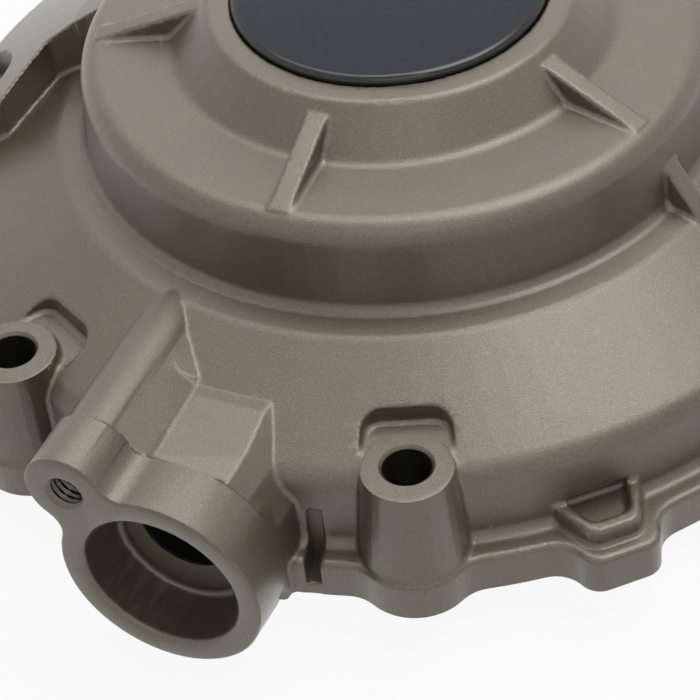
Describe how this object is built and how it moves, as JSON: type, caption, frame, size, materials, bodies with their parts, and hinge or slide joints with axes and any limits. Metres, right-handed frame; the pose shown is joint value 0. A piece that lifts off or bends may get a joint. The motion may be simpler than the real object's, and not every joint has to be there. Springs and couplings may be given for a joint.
{
  "type": "stator cover",
  "caption": "Round cast stator cover with a stepped dome, ribbed centre, round cap, rim bolt bosses and a stepped side port.",
  "frame": {"origin": "on the crank axis, in the plane of the gasket face, at the centre of the bolt circle", "axes": "+Z along the crank axis, away from the engine; the side port points towards -Y and -X"},
  "size_m": [0.1656, 0.1678, 0.0601],
  "materials": {
    "cast_bronze_paint": "satin metallic bronze paint on cast aluminium",
    "cap_dark": "satin slate face with a gloss black rounded edge"
  },
  "bodies": {
    "root": {"cover_casting": "cast_bronze_paint", "centre_cap": "cap_dark"}
  },
  "joints": []
}
